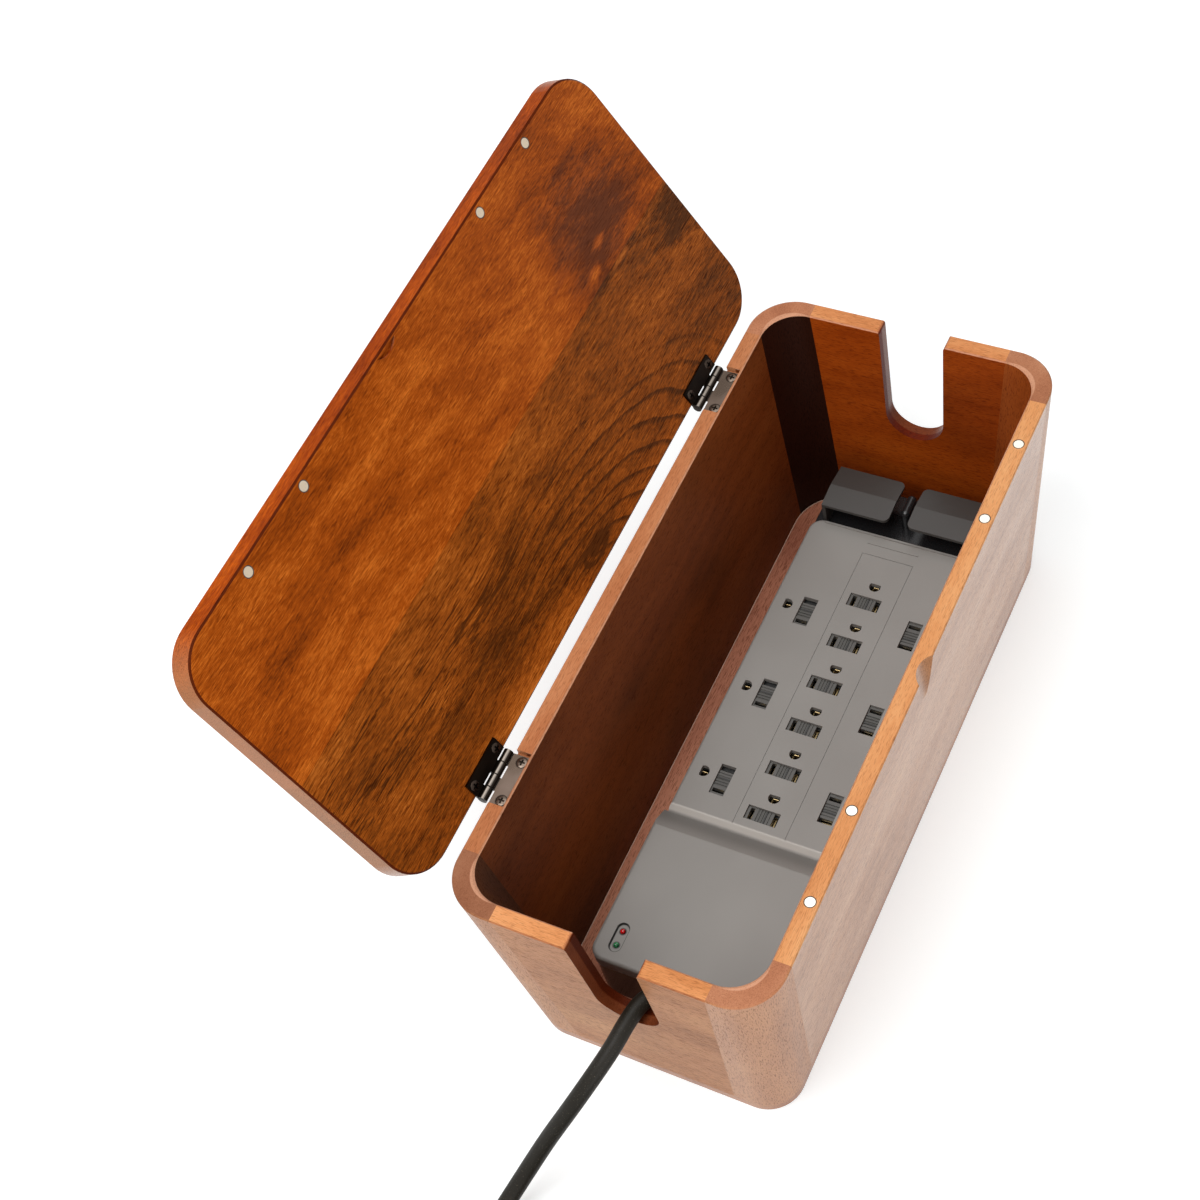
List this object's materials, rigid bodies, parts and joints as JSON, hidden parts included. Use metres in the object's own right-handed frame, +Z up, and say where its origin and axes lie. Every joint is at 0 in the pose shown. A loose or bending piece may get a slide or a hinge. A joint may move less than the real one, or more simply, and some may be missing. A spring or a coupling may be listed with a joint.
{
  "type": "cable management box",
  "caption": "Wooden cable management box with flared walls, cord slots and a hinged lid held by magnets, holding a surge power strip with sliding outlet shutters and its mains cord.",
  "frame": {"origin": "middle of the underside of the base board, on the surface the box stands on", "axes": "+X along the box from the cord end to the far end, +Y across it towards the hinges, +Z up"},
  "size_m": [0.6203, 0.3216, 0.3066],
  "materials": {
    "walnut_panel": "stained and satin lacquered",
    "walnut_block": "stained and satin lacquered",
    "walnut_lid": "stained and satin lacquered",
    "walnut_base": "stained and satin lacquered",
    "magnet_nickel": "nickel plated",
    "hinge_bronze": "dark bronze plated",
    "hinge_screw": "dark bronze plated",
    "cover_grey": "fine moulded texture",
    "shell_black": "satin moulded",
    "guide_grey": "fine moulded texture",
    "shutter_grey": "satin moulded",
    "contact_brass": "stamped",
    "carrier_black": "moulded",
    "tray_black": "moulded",
    "board_green": "solder resist",
    "varistor_blue": "dipped coating",
    "capacitor_yellow": "moulded case",
    "lamp_red": "clear tinted",
    "lamp_green": "clear tinted",
    "housing_screw": "zinc plated",
    "cord_black": "satin moulded jacket",
    "plug_black": "satin moulded",
    "plug_brass": "nickel over brass"
  },
  "bodies": {
    "box": {"front_panel": "walnut_panel", "back_panel": "walnut_panel", "cord_end_panel": "walnut_panel", "far_end_panel": "walnut_panel", "corner_block_front_near": "walnut_block", "corner_block_back_near": "walnut_block", "corner_block_front_far": "walnut_block", "corner_block_back_far": "walnut_block", "base_board": "walnut_base", "floor_panel": "walnut_base", "box_magnets": "magnet_nickel", "hinge_box_leaf_near": "hinge_bronze", "hinge_box_leaf_far": "hinge_bronze", "hinge_pin_near": "hinge_bronze", "hinge_pin_far": "hinge_bronze", "box_hinge_screws": "hinge_screw", "strip_top_cover": "cover_grey", "strip_lower_shell": "shell_black", "cord_guide_post": "shell_black", "cord_guide_left": "guide_grey", "cord_guide_right": "guide_grey", "ground_contacts": "contact_brass", "neutral_contacts": "contact_brass", "live_contacts": "contact_brass", "contact_carrier": "carrier_black", "shutter_tray": "tray_black", "surge_board": "board_green", "varistors": "varistor_blue", "noise_capacitor": "capacitor_yellow", "red_lamp": "lamp_red", "green_lamp": "lamp_green", "housing_screws": "housing_screw", "power_cord": "cord_black", "cord_coil": "cord_black", "cord_tail": "cord_black", "cord_strain_relief": "cord_black", "plug_body": "plug_black", "plug_blades": "plug_brass"},
    "lid": {"lid_board": "walnut_lid", "lid_magnets": "magnet_nickel", "lid_hinge_screws": "hinge_screw", "hinge_lid_leaf_near": "hinge_bronze", "hinge_lid_leaf_far": "hinge_bronze"},
    "shutter_01": {"outlet_shutter_01": "shutter_grey"},
    "shutter_02": {"outlet_shutter_02": "shutter_grey"},
    "shutter_03": {"outlet_shutter_03": "shutter_grey"},
    "shutter_04": {"outlet_shutter_04": "shutter_grey"},
    "shutter_05": {"outlet_shutter_05": "shutter_grey"},
    "shutter_06": {"outlet_shutter_06": "shutter_grey"},
    "shutter_07": {"outlet_shutter_07": "shutter_grey"},
    "shutter_08": {"outlet_shutter_08": "shutter_grey"},
    "shutter_09": {"outlet_shutter_09": "shutter_grey"},
    "shutter_10": {"outlet_shutter_10": "shutter_grey"},
    "shutter_11": {"outlet_shutter_11": "shutter_grey"},
    "shutter_12": {"outlet_shutter_12": "shutter_grey"}
  },
  "joints": [
    {"name": "lid_hinge", "type": "hinge", "parent": "box", "child": "lid", "pos_m": [0, 0.0897, 0.1545], "axis": [-1, 0, 0], "range_deg": [-119.3, 0]},
    {"name": "shutter_slide_01", "type": "slide", "parent": "box", "child": "shutter_01", "axis": [0, -1, 0], "range_m": [0, 0.0033]},
    {"name": "shutter_slide_02", "type": "slide", "parent": "box", "child": "shutter_02", "axis": [0, -1, 0], "range_m": [0, 0.0033]},
    {"name": "shutter_slide_03", "type": "slide", "parent": "box", "child": "shutter_03", "axis": [0, -1, 0], "range_m": [0, 0.0033]},
    {"name": "shutter_slide_04", "type": "slide", "parent": "box", "child": "shutter_04", "axis": [0, -1, 0], "range_m": [0, 0.0033]},
    {"name": "shutter_slide_05", "type": "slide", "parent": "box", "child": "shutter_05", "axis": [0, -1, 0], "range_m": [0, 0.0033]},
    {"name": "shutter_slide_06", "type": "slide", "parent": "box", "child": "shutter_06", "axis": [0, -1, 0], "range_m": [0, 0.0033]},
    {"name": "shutter_slide_07", "type": "slide", "parent": "box", "child": "shutter_07", "axis": [1, 0, 0], "range_m": [0, 0.0033]},
    {"name": "shutter_slide_08", "type": "slide", "parent": "box", "child": "shutter_08", "axis": [1, 0, 0], "range_m": [0, 0.0033]},
    {"name": "shutter_slide_09", "type": "slide", "parent": "box", "child": "shutter_09", "axis": [1, 0, 0], "range_m": [0, 0.0033]},
    {"name": "shutter_slide_10", "type": "slide", "parent": "box", "child": "shutter_10", "axis": [-1, 0, 0], "range_m": [0, 0.0033]},
    {"name": "shutter_slide_11", "type": "slide", "parent": "box", "child": "shutter_11", "axis": [-1, 0, 0], "range_m": [0, 0.0033]},
    {"name": "shutter_slide_12", "type": "slide", "parent": "box", "child": "shutter_12", "axis": [-1, 0, 0], "range_m": [0, 0.0033]}
  ]
}
